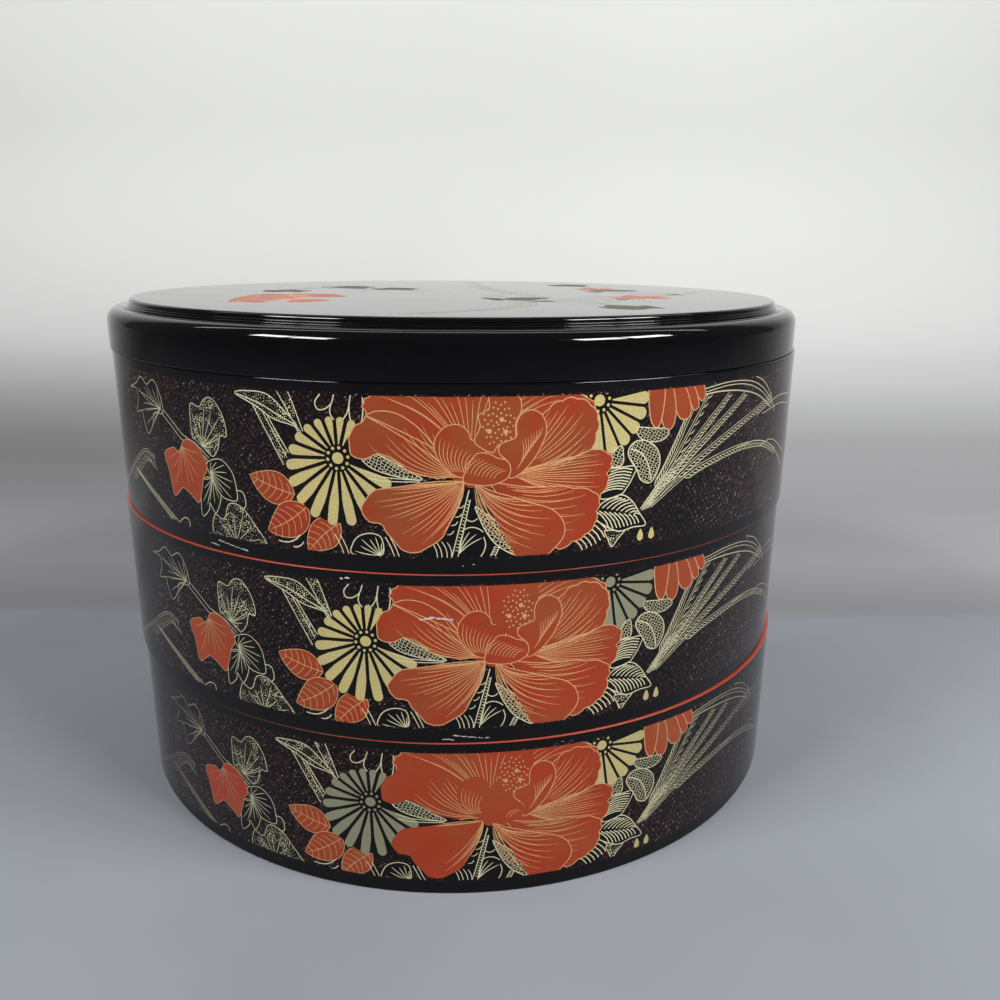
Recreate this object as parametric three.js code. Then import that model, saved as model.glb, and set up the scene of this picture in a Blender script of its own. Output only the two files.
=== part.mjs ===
// A round three-tier lacquer box with a lift-off lid.
// Three equal drums stand on each other, each with a floor of its own. A thin lip inside each
// rim goes up into a recess under the drum or lid above it, with room to shift a little, so
// the stack stands slightly out of line, as such a stack does.
// Millimetres, +Z up. The origin is on the surface that the box stands on, under its middle.
import * as THREE from "three";

// Driving sizes
const bodyRadius = 115;
const tierHeight = 48;
const wallThickness = 5.5;
const floorThickness = 3;
const floorFillet = 6;

// The joint between two tiers, and between the top tier and the lid
const lipThickness = 1.8;
const lipHeight = 3;
const lipClearance = 1.4;
const recessHeadroom = 0.6;

// Small edge roundings
const footRounding = 0.5;
const rimRounding = 0.5;
const lipRounding = 0.5;

// Lid
const lidSkirtHeight = 8.4;
const shoulderRadius = 3.8;
const ledgeWidth = 2.3;
const lidWall = 3.4;
const lidFillet = 2;
const lidEdgeRounding = 0.5;

// The raised disc on the lid, with its two fine steps
const stepCount = 2;
const stepHeight = 0.6;
const stepWidth = 0.35;
const discRimHeight = 1.4;
const discRimRounding = 1.2;

// How far each piece stands out of line along X
const bottomShift = 0.52;
const middleShift = -0.52;
const topShift = 0.22;
const lidShift = -0.4;

// Roundness of the lathe and of the roundings
const turnSegments = 64;
const edgeSteps = 2;
const rimSteps = 3;
const filletSteps = 4;

// Worked out from the sizes above
const innerRadius = bodyRadius - wallThickness;
const lipOuterRadius = innerRadius + lipThickness;
const recessRadius = lipOuterRadius + lipClearance;
const recessDepth = lipHeight + recessHeadroom;
const floorTop = recessDepth + floorThickness;

// The finish outside, on every piece: black lacquer with a high gloss.
function blackLacquer() {
  return new THREE.MeshStandardMaterial({
    name: "black_lacquer",
    color: 0x0b0a0c,
    roughness: 0.12,
    metalness: 0,
  });
}

// Points of a round corner: a quarter circle about (r, z), between two angles in degrees.
function corner(r, z, radius, from, to, steps) {
  const points = [];
  for (let i = 0; i <= steps; i += 1) {
    const angle = THREE.MathUtils.degToRad(from + ((to - from) * i) / steps);
    points.push(
      new THREE.Vector2(
        r + radius * Math.cos(angle),
        z + radius * Math.sin(angle),
      ),
    );
  }
  return points;
}

const point = (r, z) => new THREE.Vector2(r, z);

// A piece turned about Z from a profile of (radius, height) points, axis to axis.
function turned(name, profile, shift, height) {
  const geometry = new THREE.LatheGeometry(profile, turnSegments);
  geometry.rotateX(Math.PI / 2);
  const mesh = new THREE.Mesh(geometry, blackLacquer());
  mesh.name = name;
  mesh.position.set(shift, 0, height);
  return mesh;
}

// One drum: the recess under its floor, the outer wall, the rim with its lip, and the inside.
function tierProfile() {
  const lipTop = tierHeight + lipHeight;
  return [
    point(0, recessDepth),
    point(recessRadius, recessDepth),
    point(recessRadius, 0),
    ...corner(bodyRadius - footRounding, footRounding, footRounding, -90, 0, edgeSteps),
    ...corner(
      bodyRadius - rimRounding,
      tierHeight - rimRounding,
      rimRounding,
      0,
      90,
      edgeSteps,
    ),
    point(lipOuterRadius, tierHeight),
    ...corner(
      lipOuterRadius - lipRounding,
      lipTop - lipRounding,
      lipRounding,
      0,
      90,
      1,
    ),
    ...corner(innerRadius + lipRounding, lipTop - lipRounding, lipRounding, 90, 180, 1),
    ...corner(
      innerRadius - floorFillet,
      floorTop + floorFillet,
      floorFillet,
      0,
      -90,
      filletSteps,
    ),
    point(0, floorTop),
  ];
}

// The lid: a shallow cap with a round shoulder, a flat ledge and a raised stepped disc.
function lidProfile() {
  const ledgeTop = lidSkirtHeight + shoulderRadius;
  const ledgeInner = bodyRadius - shoulderRadius - ledgeWidth;
  const discTop = ledgeTop + stepCount * stepHeight + discRimHeight;
  const ceiling = discTop - lidWall;
  const steps = [];
  for (let i = 0; i < stepCount; i += 1) {
    const r = ledgeInner - i * stepWidth;
    steps.push(point(r, ledgeTop + i * stepHeight));
    steps.push(point(r, ledgeTop + (i + 1) * stepHeight));
  }
  const discRadius = ledgeInner - stepCount * stepWidth;
  const skirtCeiling = ledgeTop - lidWall;
  return [
    point(0, ceiling),
    point(discRadius - lidWall, ceiling),
    point(discRadius - lidWall, skirtCeiling),
    ...corner(
      recessRadius - lidFillet,
      skirtCeiling - lidFillet,
      lidFillet,
      90,
      0,
      edgeSteps,
    ),
    point(recessRadius, 0),
    ...corner(
      bodyRadius - lidEdgeRounding,
      lidEdgeRounding,
      lidEdgeRounding,
      -90,
      0,
      1,
    ),
    ...corner(
      bodyRadius - shoulderRadius,
      lidSkirtHeight,
      shoulderRadius,
      0,
      90,
      filletSteps,
    ),
    ...steps,
    point(discRadius, ledgeTop + stepCount * stepHeight),
    ...corner(
      discRadius - discRimRounding,
      discTop - discRimRounding,
      discRimRounding,
      0,
      90,
      rimSteps,
    ),
    point(0, discTop),
  ];
}

const box = new THREE.Group();

const tiers = [
  { name: "bottom_tier", shift: bottomShift },
  { name: "middle_tier", shift: middleShift },
  { name: "top_tier", shift: topShift },
];
tiers.forEach(({ name, shift }, level) => {
  box.add(turned(name, tierProfile(), shift, level * tierHeight));
});
box.add(turned("lid", lidProfile(), lidShift, tiers.length * tierHeight));

export default box;
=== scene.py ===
"""A round three-tier box of black lacquer, with a lift-off lid and a print of flowers and grasses.

Each tier and the lid is one closed mesh. The printed wall and the top of the lid are flat artwork
laid out in millimetres, cut into the surface itself, so the print lies flush in the lacquer.
"""

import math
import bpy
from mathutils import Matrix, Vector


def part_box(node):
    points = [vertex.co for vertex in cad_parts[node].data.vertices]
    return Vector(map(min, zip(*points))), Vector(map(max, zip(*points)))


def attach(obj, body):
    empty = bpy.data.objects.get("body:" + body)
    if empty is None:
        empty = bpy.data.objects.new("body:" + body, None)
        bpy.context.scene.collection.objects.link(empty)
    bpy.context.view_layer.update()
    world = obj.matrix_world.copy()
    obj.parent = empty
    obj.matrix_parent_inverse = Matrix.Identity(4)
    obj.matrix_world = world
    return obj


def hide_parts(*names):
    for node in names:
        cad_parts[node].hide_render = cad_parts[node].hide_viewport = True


bl_info = {
    "name": "Tiered lacquer box",
    "version": (1, 0, 0),
    "blender": (4, 5, 0),
    "location": "3D View > Sidebar > Lacquer Box",
    "description": "Builds a round stacking lacquer box with a printed wall and lid",
    "category": "Add Mesh",
}

import bpy
import numpy as np
from bpy.props import EnumProperty, FloatProperty, FloatVectorProperty, PointerProperty
from mathutils import Matrix, Vector
from mathutils.geometry import delaunay_2d_cdt

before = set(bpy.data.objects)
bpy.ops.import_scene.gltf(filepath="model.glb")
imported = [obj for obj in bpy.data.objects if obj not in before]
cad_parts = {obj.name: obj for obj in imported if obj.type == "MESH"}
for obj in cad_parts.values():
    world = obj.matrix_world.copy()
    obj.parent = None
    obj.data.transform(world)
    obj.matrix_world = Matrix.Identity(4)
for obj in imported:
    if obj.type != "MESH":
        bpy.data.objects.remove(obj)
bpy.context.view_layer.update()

MM = 0.001
TIERS = ("bottom_tier", "middle_tier", "top_tier")
SEGMENTS = 256
SEAM_TURN = math.radians(-66.0)
RING_TURNS = np.linspace(0, 2 * math.pi, SEGMENTS + 1)[:-1] + SEAM_TURN

# The map of places is in units of 100 mm. The tiers' walls, the turned surfaces and the lid lie
# apart on it, so that no two of them have the same grain.
PLACE_MAP = "place"
PLACE_UNIT = 100
TIER_SHIFT, TURNED_SHIFT, LID_SHIFT = 3.0, 2, 10

# The colour map's strips, from 0 to 1 upwards, and the margin at the sides of each
COLOUR_MAP = "OFBake"
MAP_EDGE, MAP_SPAN = 0.004, 0.992
FOOT_STRIP, RIM_STRIP, WALL_STRIP, LID_STRIP = (0.0, 0.06), (0.07, 0.15), (0.16, 1.0), (0.0, 0.17)
LID_MIDDLE, LID_SPAN = np.array((0.41, 0.59)), 0.395


def node_place(node):
    """A node's middle in X, its lowest Z and its radius, in millimetres, from its box."""
    low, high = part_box(node)
    return (low[0] + high[0]) / 2 / MM, low[2] / MM, (high[0] - low[0]) / 2 / MM


BODY_RADIUS = node_place("bottom_tier")[2]
TIER_PITCH = node_place("middle_tier")[1] - node_place("bottom_tier")[1]
LID_HEIGHT = (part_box("lid")[1][2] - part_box("lid")[0][2]) / MM
AROUND = 2 * math.pi * BODY_RADIUS


def linear(red, green, blue):
    """A screen colour from 0 to 255 as linear light."""
    shares = (np.array((red, green, blue)) / 255.0).tolist()
    return tuple(c / 12.92 if c <= 0.04045 else ((c + 0.055) / 1.055) ** 2.4 for c in shares)


# Sizes and colours that a user would change


def length(name, description, value):
    """A length property in millimetres."""
    return FloatProperty(name=name, description=description, default=value, min=0.01, precision=2)


def colour(name, description, value):
    """A colour property, from a screen colour."""
    return FloatVectorProperty(
        name=name, description=description, subtype="COLOR", size=3, min=0, max=1,
        default=linear(*value),
    )


class LacquerTierSizes(bpy.types.PropertyGroup):
    wall: length("Wall", "Thickness of the wall", 5.5)
    floor: length("Floor", "Thickness of the floor", 3.0)
    floor_fillet: length("Floor fillet", "Radius between the floor and the wall inside", 6.0)
    lip: length("Lip", "Thickness of the lip inside the rim", 1.8)
    lip_height: length("Lip height", "How far the lip stands above the rim", 3.0)
    lip_clearance: length("Lip clearance", "Room between a lip and the recess above it", 1.4)
    headroom: length("Headroom", "Room above a lip, under the floor over it", 0.6)
    rounding: length("Rounding", "Radius of the foot's edge", 0.45)
    red_edge: length("Red edge", "Radius of the rim's edge, which is red", 0.30)
    band_low: length("Band low", "Lower edge of the printed band", 4.6)
    band_high: length("Band high", "Upper edge of the printed band", 44.9)


class LacquerLidSizes(bpy.types.PropertyGroup):
    skirt: length("Skirt", "Height of the straight side", 8.4)
    shoulder: length("Shoulder", "Radius of the rounded shoulder", 3.8)
    ledge: length("Ledge", "Width of the flat ledge round the disc", 2.3)
    step_height: length("Step height", "Height of each fine step", 0.6)
    step_width: length("Step width", "Width of each fine step", 0.35)
    wall: length("Wall", "Thickness of the lid", 3.4)
    border: length("Border", "Plain edge round the printed disc", 2.6)


class LacquerColours(bpy.types.PropertyGroup):
    ground: colour("Ground", "Black lacquer", (7, 6, 7))
    inside: colour("Inside", "Red lacquer inside and on the rims", (178, 44, 24))
    petal: colour("Petal", "Orange red of the print", (148, 54, 29))
    gold: colour("Gold", "Pale gold of the print", (232, 212, 138))
    straw: colour("Straw", "Gold of the fine lines on black", (255, 247, 200))
    peach: colour("Peach", "Gold of the fine lines on red", (248, 180, 118))
    # Silver is grey in clouds of the gold, and a painted reflection on one small flower of each of
    # the two lower tiers
    silver: colour("Silver", "Gold where it has gone grey", (156, 154, 126))
    fleck: colour("Fleck", "Maroon flecks of the ground", (92, 50, 46))


# The grey that gold is dimmed to: painted shade at the sides of the front, and duller gold on the
# lower tiers
SHADED_DULL = linear(96, 95, 82)
BROWN_CLOUD = linear(126, 78, 44)
# White of the chips near the joints: partly chips, partly painted glints
GLINT_WHITE = linear(228, 228, 222)
SCRATCH, GREY_FLECK = (0.30, 0.29, 0.28), (0.24, 0.20, 0.19)


# Shader maths


class Value:
    """A number in a material. Arithmetic on it adds Math nodes."""

    def __init__(self, recipe, socket):
        self.recipe, self.socket = recipe, socket

    def math(self, operation, *others, first=None, clamp=False):
        numbers = (first if first is not None else self, *others)
        return self.recipe.node(
            "Math", {"operation": operation, "use_clamp": clamp}, dict(enumerate(numbers))
        )

    def __add__(self, other):
        return self.math("ADD", other)

    def __radd__(self, other):
        return self.math("ADD", other)

    def __sub__(self, other):
        return self.math("SUBTRACT", other)

    def __rsub__(self, other):
        return self.math("SUBTRACT", self, first=other)

    def __mul__(self, other):
        return self.math("MULTIPLY", other)

    def __rmul__(self, other):
        return self.math("MULTIPLY", other)

    def rises(self, low, high):
        """0 below low and 1 above high, or the other way round, and straight between them."""
        return self.math("SUBTRACT", low).math("DIVIDE", high - low, clamp=True)


class Recipe:
    """A material that is being put together."""

    def __init__(self, name):
        self.material = bpy.data.materials.new(name)
        self.material.use_nodes = True
        self.tree = self.material.node_tree
        self.tree.nodes.clear()

    def make(self, kind, settings=None, inputs=None):
        """Adds a node, sets its settings first and then its sockets' values or links."""
        node = self.tree.nodes.new("ShaderNode" + kind)
        for name, value in (settings or {}).items():
            if name == "stops":
                ramp = node.color_ramp.elements
                while len(ramp) < len(value):
                    ramp.new(0.5)
                for stop, (place, shade) in zip(ramp, value, strict=True):
                    stop.position, stop.color = place, (*shade, 1.0)
            else:
                setattr(node, name, value)
        for name, value in (inputs or {}).items():
            if isinstance(value, Value):
                self.tree.links.new(value.socket, node.inputs[name])
            elif isinstance(value, tuple) and len(value) == 3 and node.inputs[name].type == "RGBA":
                node.inputs[name].default_value = (*value, 1.0)
            else:
                node.inputs[name].default_value = value
        return node

    def node(self, kind, settings=None, inputs=None, output=0):
        """The same, and gives one of the node's outputs."""
        return Value(self, self.make(kind, settings, inputs).outputs[output])

    def place(self):
        """The place on the unrolled surface, in units of 100 millimetres."""
        return self.node("UVMap", {"uv_map": PLACE_MAP})

    def split(self, vector):
        parts = self.make("SeparateXYZ", None, {0: vector})
        return [Value(self, parts.outputs[i]) for i in range(3)]

    def stretched(self, vector, scale, turn):
        """A vector turned about Z and scaled along each axis."""
        turned = self.node(
            "Mapping", {"vector_type": "POINT"}, {"Vector": vector, "Rotation": (0.0, 0.0, turn)}
        )
        return self.node("VectorMath", {"operation": "MULTIPLY"}, {0: turned, 1: scale})

    def noise(self, vector, scale, detail=2.0, roughness=0.5):
        return self.node(
            "TexNoise", {"noise_dimensions": "3D"},
            {"Vector": vector, "Scale": scale, "Detail": detail, "Roughness": roughness},
        )

    def mixed(self, share, first, second):
        """Colour first, turning into second as share goes from 0 to 1."""
        node = self.make("Mix", {"data_type": "RGBA", "blend_type": "MIX"})
        for index, value in ((0, share), (6, first), (7, second)):
            if isinstance(value, Value):
                self.tree.links.new(value.socket, node.inputs[index])
            else:
                node.inputs[index].default_value = (*value, 1.0) if index else value
        return Value(self, node.outputs[2])

    def bump(self, height, depth):
        """A normal bent by a height from 0 to 1 that stands for depth metres."""
        return self.node("Bump", None, {"Strength": 1.0, "Distance": depth, "Height": height})

    def finished(self, base, roughness, metallic=0.0, normal=None, coat=0.0, ior=1.45):
        shader = self.make(
            "BsdfPrincipled", None,
            {"Base Color": base, "Roughness": roughness, "Metallic": metallic, "IOR": ior,
             "Coat Weight": coat, "Coat Roughness": 0.03, "Coat IOR": 1.45},
        )
        if normal is not None:
            self.tree.links.new(normal.socket, shader.inputs["Normal"])
        output = self.make("OutputMaterial")
        self.tree.links.new(shader.outputs[0], output.inputs[0])
        return self.material


def lacquer_skin(recipe, place):
    """The fine unevenness of a sprayed gloss: slow waves and a little dust, as a normal."""
    waves = recipe.noise(place, 9.0, 2.0)
    dust = recipe.noise(place, 260.0, 1.0).rises(0.70, 0.80)
    return recipe.bump(waves + dust * 0.12, 0.00006)


def black_lacquer(colours, flecked):
    """High gloss black. The flecked ground of the printed band also has short slanted dashes:
    cells stretched along one slant, each with a dash at its middle, maroon or now and then grey."""
    recipe = Recipe("flecked_lacquer" if flecked else "black_lacquer")
    place = recipe.place()
    smudges = recipe.noise(place, 3.2, 3.0, 0.6)
    scratches = recipe.noise(recipe.stretched(place, (5.0, 150.0, 1.0), 0.35), 3.0,
                             2.0).rises(0.74, 0.78)
    base = recipe.mixed(scratches * 0.05, tuple(colours.ground), SCRATCH)
    rough = smudges.rises(0.35, 0.8) * 0.05 + 0.035 + scratches * 0.15
    if flecked:
        cells = recipe.stretched(place, (76.0, 290.0, 1.0), -0.62)
        dashes = recipe.make(
            "TexVoronoi", {"voronoi_dimensions": "2D", "feature": "F1"},
            {"Vector": cells, "Scale": 1.0, "Randomness": 1.0},
        )
        chance = recipe.split(Value(recipe, dashes.outputs["Color"]))
        shape = Value(recipe, dashes.outputs["Distance"]).rises(0.38, 0.24)
        crowd = recipe.noise(place, 2.4, 2.0).rises(0.30, 0.55)
        there = shape * chance[0].rises(0.56, 0.60) * (crowd * 0.6 + 0.4)
        tint = recipe.mixed(chance[1].rises(0.86, 0.88), tuple(colours.fleck), GREY_FLECK)
        base = recipe.mixed(there * (chance[2] * 0.6 + 0.4), base, tint)
        rough = rough + there * 0.10
    return recipe.finished(base, rough, normal=lacquer_skin(recipe, place), ior=1.31)


def red_lacquer(colours):
    """The plain red of the inside and of the rims, a little darker in patches."""
    recipe = Recipe("red_lacquer")
    place = recipe.place()
    patches = recipe.noise(place, 4.0, 3.0, 0.6).rises(0.3, 0.75)
    deep = tuple(0.72 * c for c in colours.inside)
    base = recipe.mixed(patches, tuple(colours.inside), deep)
    return recipe.finished(base, patches * 0.06 + 0.10, normal=lacquer_skin(recipe, place),
                           ior=1.45)


def red_print(colours):
    """The orange red of petals and leaves: slow drifts of tone, fine grain and a soft bloom."""
    recipe = Recipe("red_print")
    place = recipe.place()
    drift = recipe.noise(place, 5.0, 3.0, 0.55).rises(0.32, 0.70)
    grain = recipe.noise(place, 190.0, 2.0).rises(0.35, 0.75)
    deep = tuple(c * s for c, s in zip(colours.petal, (0.78, 0.66, 0.60), strict=True))
    base = recipe.mixed(drift * 0.6 + grain * 0.25, tuple(colours.petal), deep)
    clouds = recipe.noise(place, 3.4, 3.0, 0.6).rises(0.42, 0.72)
    base = recipe.mixed(clouds * 0.6, base, BROWN_CLOUD)
    return recipe.finished(
        base, drift * 0.08 + 0.20, normal=lacquer_skin(recipe, place), coat=0.2, ior=1.25
    )


def side_shade_and_dulling(recipe, place):
    """How grey the gold is painted. At the two sides of the front this is painted shade: the gold
    dims to grey where its sheen falls off towards the sides, and the same greying is repeated on
    the side not seen. The lower tiers are duller all round."""
    along_wall, up = recipe.split(place)[:2]
    right = along_wall.rises(0.50, 1.10) * along_wall.rises(2.6, 1.9)
    left = along_wall.rises(-0.40, -1.00) + along_wall.rises(4.9, 5.6) * along_wall.rises(7.0, 6.0)
    lower = up.rises(2 * TIER_SHIFT + 0.5, 0.0)
    return (right + left) * (lower * 0.22 + 0.56) + lower * 0.22


def gold_print(colours, name, tone):
    """Metal powder ink: the tone in fine grains of light and shade, grey in clouds, and dimmed to
    grey at the sides of the front as painted shade.
    """
    recipe = Recipe(name)
    place = recipe.place()
    grain = recipe.noise(place, 240.0, 3.0, 0.7)
    cloud = recipe.noise(place, 7.0, 3.0, 0.6).rises(0.35, 0.7)
    dark = tuple(0.62 * c for c in tone)
    base = recipe.mixed(grain.rises(0.36, 0.66), dark, tuple(tone))
    base = recipe.mixed(cloud * 0.30, base, tuple(colours.silver))
    # Painted shade: the gold dimmed to grey at the sides of the front, and duller on the lower
    # tiers
    base = recipe.mixed(side_shade_and_dulling(recipe, place), base, SHADED_DULL)
    return recipe.finished(
        base, grain * 0.25 + 0.24, metallic=0.35, normal=lacquer_skin(recipe, place), coat=0.15
    )


def matt_ink(name, tone, rough):
    """Ink without a gloss, a little uneven in tone. The lid's inks get pale, greyed tones: painted
    sheen, the sheen that the lid's print shows at a low angle put into its colour.
    """
    recipe = Recipe(name)
    place = recipe.place()
    drift = recipe.noise(place, 16.0, 3.0, 0.6).rises(0.3, 0.7)
    base = recipe.mixed(drift * 0.5, tone, tuple(0.7 * c for c in tone))
    return recipe.finished(base, rough, ior=1.2)


def patterned_ink(colours, name, shape):
    """A gold pattern on plain black: shape(recipe, place) gives the share of gold."""
    recipe = Recipe(name)
    place = recipe.place()
    gold = shape(recipe, place)
    # Painted shade: the lines dimmed to grey at the sides of the front, and duller on the lower
    # tiers
    tone = recipe.mixed(side_shade_and_dulling(recipe, place), tuple(colours.straw), SHADED_DULL)
    base = recipe.mixed(gold, tuple(colours.ground), tone)
    return recipe.finished(base, gold * 0.28 + 0.05, metallic=gold * 0.5,
                           normal=lacquer_skin(recipe, place), ior=1.31)


def stippled(recipe, place):
    """Small round dots, one in each cell."""
    dots = recipe.make(
        "TexVoronoi", {"voronoi_dimensions": "2D", "feature": "F1"},
        {"Vector": place, "Scale": 170.0, "Randomness": 0.9},
    )
    crowd = recipe.noise(place, 26.0, 1.0).rises(0.38, 0.62) * 0.22 + 0.06
    return (crowd - Value(recipe, dots.outputs["Distance"])).rises(-0.06, 0.04) * 0.9


def netted(recipe, place):
    """The edges between cells, as a net of fine lines."""
    net = recipe.node(
        "TexVoronoi", {"voronoi_dimensions": "2D", "feature": "DISTANCE_TO_EDGE"},
        {"Vector": recipe.stretched(place, (1.0, 1.35, 1.0), 0.5), "Scale": 100.0,
         "Randomness": 0.6},
    )
    return net.rises(0.09, 0.03)


INKS = ("flecked", "black", "inside", "petal", "gold", "straw", "peach", "stipple", "net", "chip",
        "silver",
        "rim", "matt_red", "matt_gold", "matt_leaf", "matt_peach")
(FLECKED, BLACK, INSIDE, PETAL, GOLD, STRAW, PEACH, STIPPLE, NET, CHIP_GLINT, SILVER,
 RIM, MATT_RED, MATT_GOLD, MATT_LEAF, MATT_PEACH) = range(len(INKS))


def box_materials():
    """The materials in the order of INKS, made once."""
    if "flecked_lacquer" not in bpy.data.materials:
        colours = bpy.context.scene.lacquer_colours
        made = [
            black_lacquer(colours, True),
            black_lacquer(colours, False),
            red_lacquer(colours),
            red_print(colours),
            *(gold_print(colours, *ink) for ink in (
                ("gold_print", colours.gold), ("straw_line", colours.straw),
                ("peach_line", colours.peach),
            )),
            patterned_ink(colours, "stippled_gold", stippled),
            patterned_ink(colours, "netted_gold", netted),
            gold_print(colours, "chip_glint", GLINT_WHITE),
            gold_print(colours, "silver_print", colours.silver),
            # The joint's red line, and the lid's inks, whose pale, greyed tones are painted sheen
            *(matt_ink(name, linear(*tone), rough) for name, tone, rough in (
                ("rim_line", (146, 62, 48), 0.22), ("matt_red", (148, 84, 70), 0.50),
                ("matt_gold", (112, 109, 96), 0.50), ("matt_leaf", (66, 66, 54), 0.50),
                ("matt_peach", (186, 146, 118), 0.50),
            )),
        ]
        box_materials.names = [m.name for m in made]
    return [bpy.data.materials[name] for name in box_materials.names]


# Flat artwork, in millimetres


def through(points, steps=5, closed=False):
    """A smooth path through points: on each span a cubic whose slope at each end is half of the
    way between the neighbours on both sides of that end."""
    p = np.asarray(points, float)
    if closed:
        p = np.concatenate((p[-1:], p, p[:2]))
    else:
        p = np.concatenate((2 * p[:1] - p[1:2], p, 2 * p[-1:] - p[-2:-1]))
    t = (np.arange(steps) / steps)[None, :, None]
    a, b, c, d = (p[i : len(p) - 3 + i][:, None] for i in range(4))
    spans = 0.5 * (
        2 * b + (c - a) * t + (2 * a - 5 * b + 4 * c - d) * t**2 + (3 * b - a - 3 * c + d) * t**3
    )
    path = spans.reshape(-1, 2)
    return path if closed else np.concatenate((path, p[-2:-1]))


def circle(turn):
    """Points on the circle of radius 1, at turns that start at +X."""
    return np.stack((np.cos(turn), np.sin(turn)), 1)


def left_of(way):
    """The direction square to another, on its left."""
    return np.array((-way[1], way[0]))


def sides(path, closed=False):
    """The unit direction square to a path, to its left, at each of its points."""
    if closed:
        ahead = np.roll(path, -1, 0) - np.roll(path, 1, 0)
    else:
        ahead = np.gradient(path, axis=0)
    size = np.maximum(np.linalg.norm(ahead, axis=1, keepdims=True), 1e-9)
    return np.stack((-ahead[:, 1], ahead[:, 0]), 1) / size


def along(path, shares):
    """Points at these shares of a path's length."""
    gone = np.concatenate(([0.0], np.cumsum(np.linalg.norm(np.diff(path, axis=0), axis=1))))
    at = np.asarray(shares) * gone[-1]
    return np.stack([np.interp(at, gone, path[:, i]) for i in range(2)], 1)


def scalloped(path, lobes, depth):
    """A path pushed out to its right in round lobes."""
    share = np.linspace(0, 1, len(path))
    return path - sides(path) * (depth * np.abs(np.sin(math.pi * lobes * share)))[:, None]


def bent(start, end, bend, steps=8):
    """A curve from start to end, pushed to its left at its middle by bend times its length."""
    start, end = np.asarray(start, float), np.asarray(end, float)
    t = np.linspace(0, 1, steps)[:, None]
    across = left_of(end - start)
    return start + (end - start) * t + across * (4 * bend * t * (1 - t))


# The share of its stated width that a line of an ink gets, and the width of a petal's veins
FINENESS = {STRAW: 0.76, PEACH: 0.72}
VEIN = 0.25


class Plate:
    """Artwork built up in layers, each one over those before it, and clipped by hold."""

    def __init__(self, hold):
        self.hold = hold
        self.shapes, self.inks = [], []
        self.shift, self.turn, self.scale = np.zeros(2), np.eye(2), 1.0
        self.worn = []

    def put(self, x=0.0, z=0.0, turn=0.0, scale=1.0, about=(0.0, 0.0)):
        """Sets where the next layers go: scaled and turned about a point that comes to (x, z)."""
        c, s = math.cos(math.radians(turn)), math.sin(math.radians(turn))
        self.turn, self.scale = np.array(((c, s), (-s, c))), scale
        self.shift = np.array((x, z)) - (np.asarray(about, float) @ self.turn) * scale

    def laid(self, points):
        return (np.asarray(points, float) @ self.turn) * self.scale + self.shift

    def add(self, ink, points):
        """Adds a closed shape, unless the clipping leaves nothing of it."""
        kept = self.hold(points)
        if np.ptp(kept, axis=0).min() > 0.05:
            self.shapes.append(kept)
            self.inks.append(ink)

    def area(self, ink, outline):
        self.add(ink, self.laid(outline))

    def line(self, ink, path, width, closed=False, ends=(1.0, 1.0)):
        """A stroke along a path, as wide as width and drawn in at its two ends."""
        path = self.laid(path)
        middle = path.mean(0)
        if ink == PEACH and any(np.hypot(*(middle - spot[:2])) < spot[2] for spot in self.worn):
            return
        if closed:
            path = np.concatenate((path, path[:1]))
        share = np.linspace(0, 1, len(path))
        wide = np.full(len(path), width / 2 * FINENESS.get(ink, 1.0))
        if not closed:
            wide *= np.minimum(1, ends[0] + 3 * share) * np.minimum(1, ends[1] + 3 * (1 - share))
        off = sides(path) * wide[:, None]
        self.add(ink, np.concatenate((path + off, (path - off)[::-1])))

    def stroke(self, points, width, steps=5, ink=STRAW):
        """A line on the smooth path through a few points."""
        self.line(ink, through(points, steps), width)

    def arc(self, start, end, bend, steps, width, ink=STRAW, ends=(1.0, 1.0)):
        """A line on a bent curve from start to end."""
        self.line(ink, bent(start, end, bend, steps), width, ends=ends)

    def dots(self, ink, centres, radius, corners=8):
        ring = circle(np.linspace(0, 2 * math.pi, corners, endpoint=False)) * radius
        for centre in centres:
            self.area(ink, np.asarray(centre) + ring)


def line_on(fill):
    """The ink of the lines on a filled shape."""
    return PEACH if fill == PETAL else STRAW


def outlined(plate, fill, outline, width=0.34):
    """A closed smooth shape through a few points, with a line round it."""
    shape = through(outline, 5, closed=True)
    plate.area(fill, shape)
    plate.line(line_on(fill), shape, width, closed=True)
    return shape


def petal(plate, heart, edge, lobes, veins, depth=0.7, spread=(0.06, 0.94), reach=(0.3, 0.9),
          bend=0.0, curl=0.0):
    """A fan-shaped petal: its edge is a smooth path with round lobes, its sides run to the heart,
    and fine veins run from near the heart towards the edge, all bent by curl and fanned by bend."""
    rim = scalloped(through(edge, 7), lobes, depth)
    heart, veins = np.asarray(heart, float), round(1.35 * veins)
    plate.area(PETAL, np.concatenate((rim, heart[None])))
    plate.line(PEACH, rim, 0.38)
    for end in (rim[0], rim[-1]):
        plate.arc(end, heart, 0.03, 6, 0.36, ink=PEACH)
    for i, tip in enumerate(along(rim, np.linspace(*spread, veins))):
        side = 2 * i / max(veins - 1, 1) - 1
        far = reach[1] - 0.07 * ((i * 7) % 3)
        near = reach[0] + 0.05 * ((i * 5) % 3)
        path = bent(heart, heart + (tip - heart) * far, curl + bend * side, 13)
        plate.line(PEACH, path[int(near * 12) :], VEIN, ends=(0.5, 0.3))


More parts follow.
